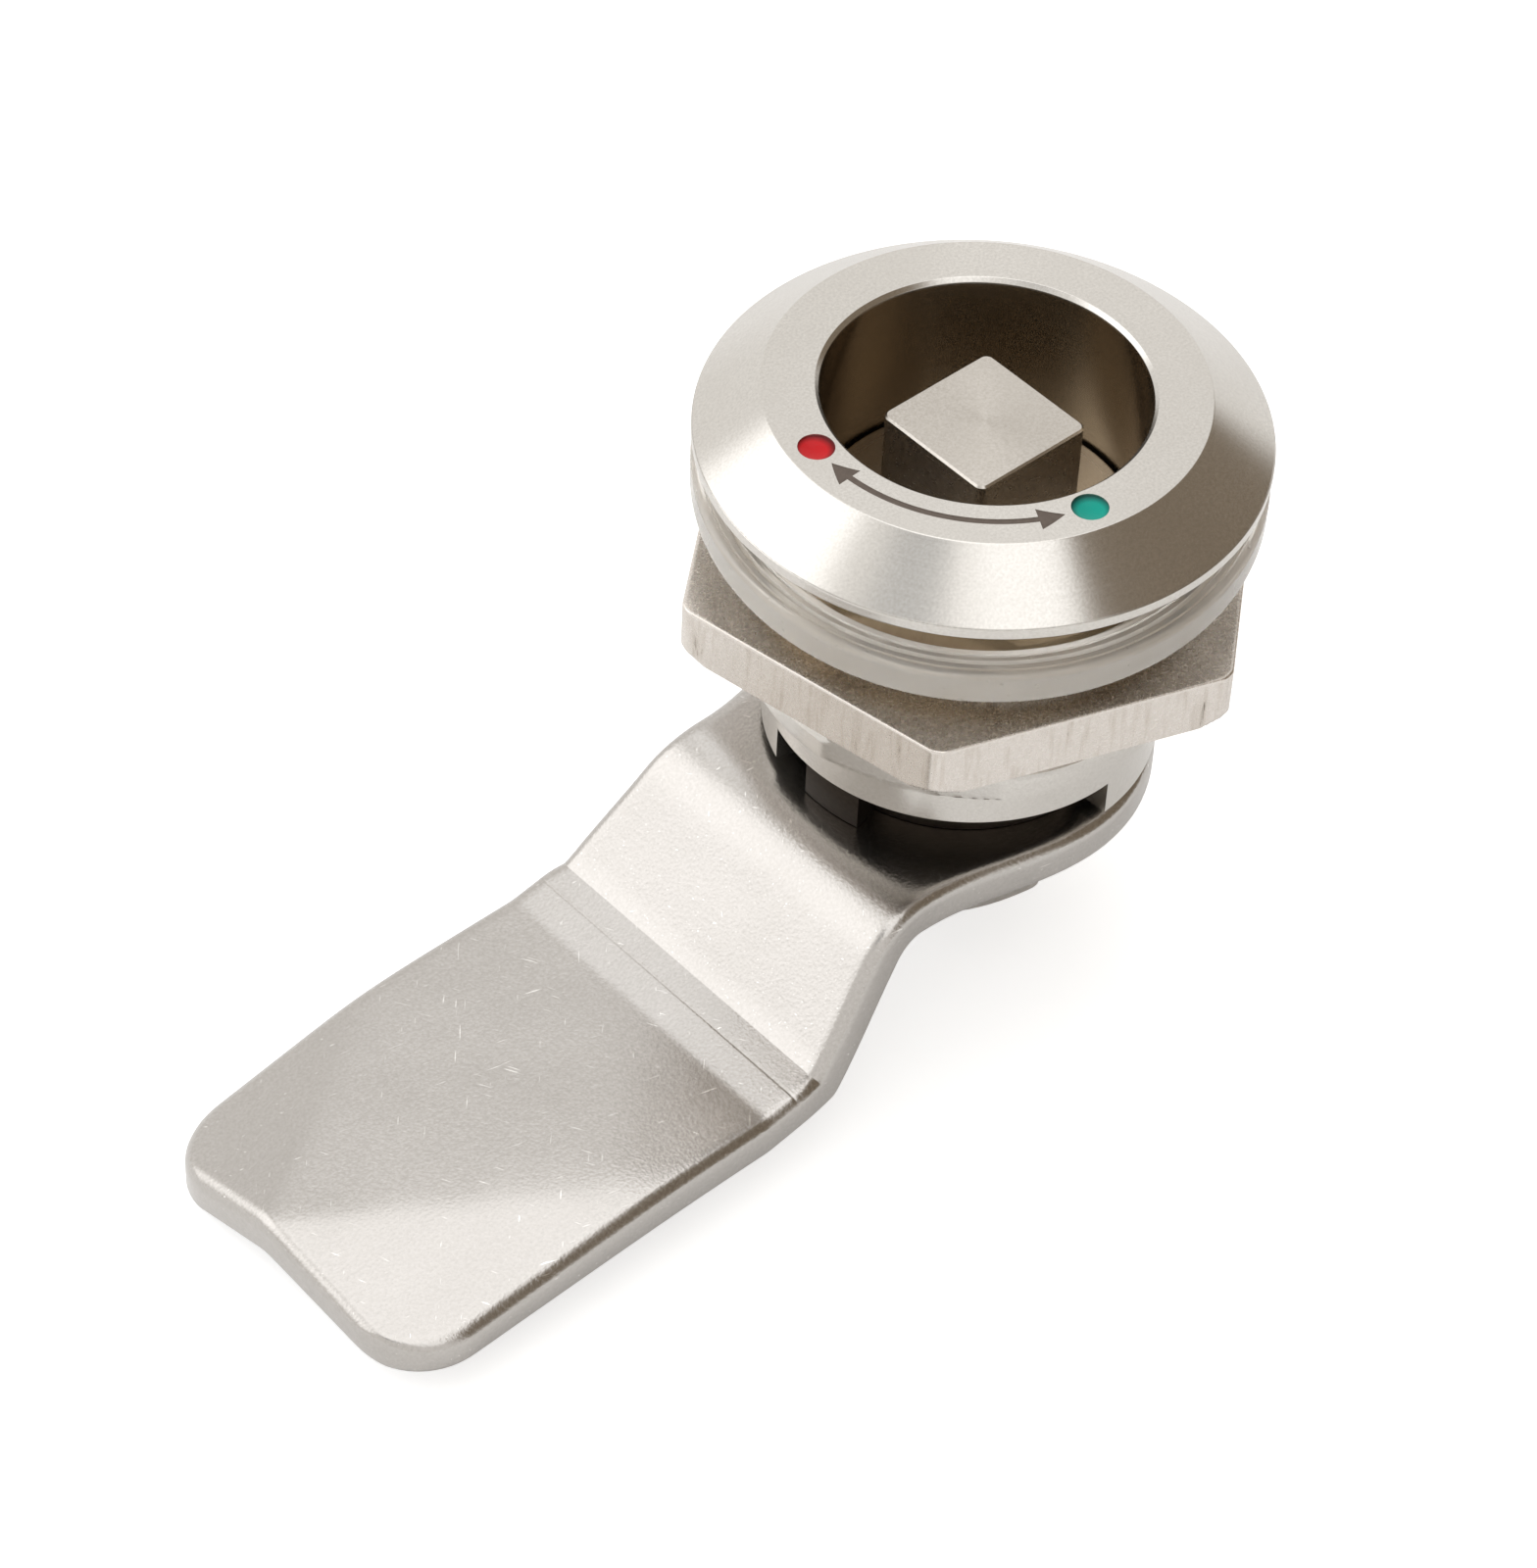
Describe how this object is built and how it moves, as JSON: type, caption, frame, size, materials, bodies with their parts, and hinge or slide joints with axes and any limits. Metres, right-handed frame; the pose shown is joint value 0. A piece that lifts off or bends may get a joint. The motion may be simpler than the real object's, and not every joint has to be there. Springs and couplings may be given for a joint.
{
  "type": "quarter-turn cabinet lock",
  "caption": "Quarter-turn cabinet lock: round panel-mounted housing with a square key, panel nut, gasket and a cranked cam that swings behind the frame.",
  "frame": {"origin": "on the lock's axis, in the plane where the underside of the head seats on the door", "axes": "+Z along the lock's axis towards the key side; +X along the cam's blade as stored; +Y completes the right-handed frame"},
  "size_m": [0.0583, 0.0302, 0.0335],
  "materials": {
    "turned_steel": "fine turned",
    "red_enamel": "gloss enamel fill",
    "green_enamel": "gloss enamel fill",
    "dark_ink": "matt ink fill",
    "clear_rubber": "milky translucent",
    "plated_casting": "nickel plate over a cast surface",
    "spindle_steel": "satin",
    "black_rubber": "matt",
    "plated_steel": "nickel plate",
    "plated_plate": "nickel plate over pressed sheet"
  },
  "bodies": {
    "housing": {"housing": "turned_steel", "red_dot": "red_enamel", "green_dot": "green_enamel", "arrow_inlay": "dark_ink", "panel_gasket": "clear_rubber"},
    "rotor": {"spindle": "spindle_steel", "spindle_o_ring": "black_rubber", "stop_washer": "plated_steel", "cam": "plated_plate", "plain_washer": "plated_steel", "spring_washer": "plated_steel", "cam_screw": "plated_steel"},
    "nut": {"hex_nut": "plated_casting"}
  },
  "joints": [
    {"name": "spindle_turn", "type": "hinge", "parent": "housing", "child": "rotor", "pos_m": [0, 0, -0.0068], "axis": [0, 0, 1], "range_deg": [-13, 77.5]},
    {"name": "nut_travel", "type": "slide", "parent": "housing", "child": "nut", "axis": [0, 0, 1], "range_m": [-0.005, 0.0014]}
  ]
}
